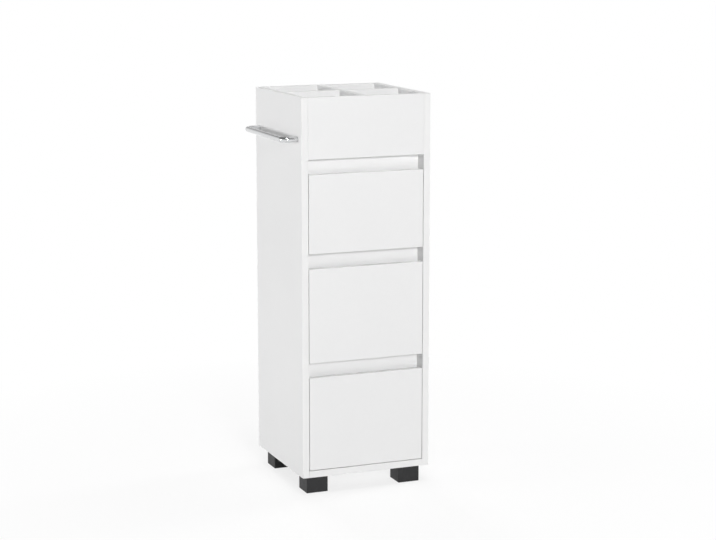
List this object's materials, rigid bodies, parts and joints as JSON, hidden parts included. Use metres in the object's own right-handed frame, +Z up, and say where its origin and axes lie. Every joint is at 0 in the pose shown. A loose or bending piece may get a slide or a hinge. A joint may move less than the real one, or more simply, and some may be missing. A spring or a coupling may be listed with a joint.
{
  "type": "bathroom storage tower",
  "caption": "Narrow floor-standing bathroom tower with an open divided tray on top, inset drawers on roller runners with finger gaps, block feet and a side towel rail.",
  "frame": {"origin": "on the floor, under the middle of the whole footprint, towel rail included", "axes": "+Z up, +Y towards the back panel, +X to the right as seen from the front; the drawers open towards -Y and the towel rail is on the -X side"},
  "size_m": [0.338, 0.295, 0.876],
  "materials": {
    "white_board": "satin",
    "thin_board": "satin",
    "black_plastic": "matte",
    "chrome_bar": "polished",
    "white_steel": "gloss",
    "white_nylon": "satin",
    "zinc": "satin",
    "beech": "matte"
  },
  "bodies": {
    "carcass": {"side_panel_left": "white_board", "side_panel_right": "white_board", "bottom_panel": "white_board", "tray_floor": "white_board", "tray_front": "white_board", "tray_back": "white_board", "back_panel": "thin_board", "divider_long": "white_board", "divider_cross": "white_board", "grip_rail_low": "white_board", "grip_rail_middle": "white_board", "grip_rail_top": "white_board", "towel_rail": "chrome_bar", "towel_rail_screws": "zinc", "foot_front_left": "black_plastic", "foot_front_right": "black_plastic", "foot_back_left": "black_plastic", "foot_back_right": "black_plastic", "foot_screws": "zinc", "carcass_dowels": "beech", "cam_bolts": "zinc", "cam_locks": "zinc", "runner_low_left": "white_steel", "runner_low_right": "white_steel", "runner_middle_left": "white_steel", "runner_middle_right": "white_steel", "runner_top_left": "white_steel", "runner_top_right": "white_steel", "runner_screws": "zinc"},
    "low_channel_rollers": {"runner_rollers_low": "white_nylon"},
    "middle_channel_rollers": {"runner_rollers_middle": "white_nylon"},
    "top_channel_rollers": {"runner_rollers_top": "white_nylon"},
    "low_drawer": {"drawer_low_front": "white_board", "drawer_low_side_left": "white_board", "drawer_low_side_right": "white_board", "drawer_low_back": "white_board", "drawer_low_bottom": "thin_board", "drawer_low_runner_left": "white_steel", "drawer_low_runner_right": "white_steel", "drawer_low_fixings": "zinc"},
    "low_drawer_rollers": {"drawer_low_rollers": "white_nylon"},
    "middle_drawer": {"drawer_middle_front": "white_board", "drawer_middle_side_left": "white_board", "drawer_middle_side_right": "white_board", "drawer_middle_back": "white_board", "drawer_middle_bottom": "thin_board", "drawer_middle_runner_left": "white_steel", "drawer_middle_runner_right": "white_steel", "drawer_middle_fixings": "zinc"},
    "middle_drawer_rollers": {"drawer_middle_rollers": "white_nylon"},
    "top_drawer": {"drawer_top_front": "white_board", "drawer_top_side_left": "white_board", "drawer_top_side_right": "white_board", "drawer_top_back": "white_board", "drawer_top_bottom": "thin_board", "drawer_top_runner_left": "white_steel", "drawer_top_runner_right": "white_steel", "drawer_top_fixings": "zinc"},
    "top_drawer_rollers": {"drawer_top_rollers": "white_nylon"}
  },
  "joints": [
    {"name": "low_drawer_slide", "type": "slide", "parent": "carcass", "child": "low_drawer", "axis": [0, -1, 0], "range_m": [0, 0.185]},
    {"name": "low_channel_rollers_spin", "type": "hinge", "parent": "carcass", "child": "low_channel_rollers", "pos_m": [0.019, -0.1185, 0.0753], "axis": [1, 0, 0], "continuous": true},
    {"name": "low_drawer_rollers_spin", "type": "hinge", "parent": "low_drawer", "child": "low_drawer_rollers", "pos_m": [0.019, 0.1055, 0.075], "axis": [1, 0, 0], "continuous": true},
    {"name": "middle_drawer_slide", "type": "slide", "parent": "carcass", "child": "middle_drawer", "axis": [0, -1, 0], "range_m": [0, 0.185]},
    {"name": "middle_channel_rollers_spin", "type": "hinge", "parent": "carcass", "child": "middle_channel_rollers", "pos_m": [0.019, -0.1185, 0.3158], "axis": [1, 0, 0], "continuous": true},
    {"name": "middle_drawer_rollers_spin", "type": "hinge", "parent": "middle_drawer", "child": "middle_drawer_rollers", "pos_m": [0.019, 0.1055, 0.3155], "axis": [1, 0, 0], "continuous": true},
    {"name": "top_drawer_slide", "type": "slide", "parent": "carcass", "child": "top_drawer", "axis": [0, -1, 0], "range_m": [0, 0.185]},
    {"name": "top_channel_rollers_spin", "type": "hinge", "parent": "carcass", "child": "top_channel_rollers", "pos_m": [0.019, -0.1185, 0.5568], "axis": [1, 0, 0], "continuous": true},
    {"name": "top_drawer_rollers_spin", "type": "hinge", "parent": "top_drawer", "child": "top_drawer_rollers", "pos_m": [0.019, 0.1055, 0.5565], "axis": [1, 0, 0], "continuous": true}
  ],
  "couplings": [
    {"joint": "low_channel_rollers_spin", "follows": "low_drawer_slide", "rad_per_m": 125},
    {"joint": "low_drawer_rollers_spin", "follows": "low_drawer_slide", "rad_per_m": 125},
    {"joint": "middle_channel_rollers_spin", "follows": "middle_drawer_slide", "rad_per_m": 125},
    {"joint": "middle_drawer_rollers_spin", "follows": "middle_drawer_slide", "rad_per_m": 125},
    {"joint": "top_channel_rollers_spin", "follows": "top_drawer_slide", "rad_per_m": 125},
    {"joint": "top_drawer_rollers_spin", "follows": "top_drawer_slide", "rad_per_m": 125}
  ]
}
